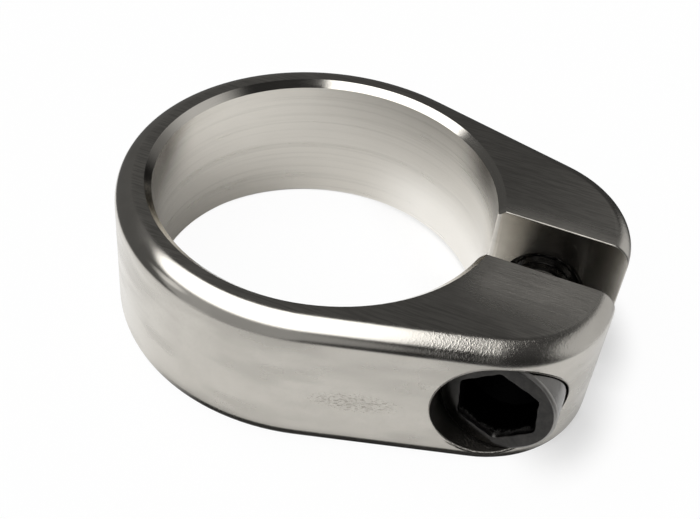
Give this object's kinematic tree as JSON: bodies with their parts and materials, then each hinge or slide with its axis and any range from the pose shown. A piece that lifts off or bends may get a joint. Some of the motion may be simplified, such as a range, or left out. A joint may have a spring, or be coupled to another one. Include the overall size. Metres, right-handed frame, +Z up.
{
  "type": "seatpost clamp",
  "caption": "Split steel collar with two ears, tightened round a bicycle seat tube by a recessed socket head cap screw across its slot.",
  "frame": {"origin": "on the bore's axis, at half the collar's height", "axes": "+Z up the bore's axis, +X from the bore to the slot, and the clamp screw along Y with its head on the -Y side"},
  "size_m": [0.0445, 0.0362, 0.0136],
  "materials": {
    "satin_steel": "machined and polished to a satin, with turning lines in the bore",
    "black_oxide_steel": "black oxide, lightly oiled"
  },
  "bodies": {
    "collar": {"collar": "satin_steel"},
    "clamp_screw": {"clamp_screw": "black_oxide_steel"}
  },
  "joints": [
    {"name": "clamp_screw_turn", "type": "hinge", "parent": "collar", "child": "clamp_screw", "pos_m": [0.02, 0, 0], "axis": [0, 1, 0], "range_deg": [-2700, 360]}
  ]
}
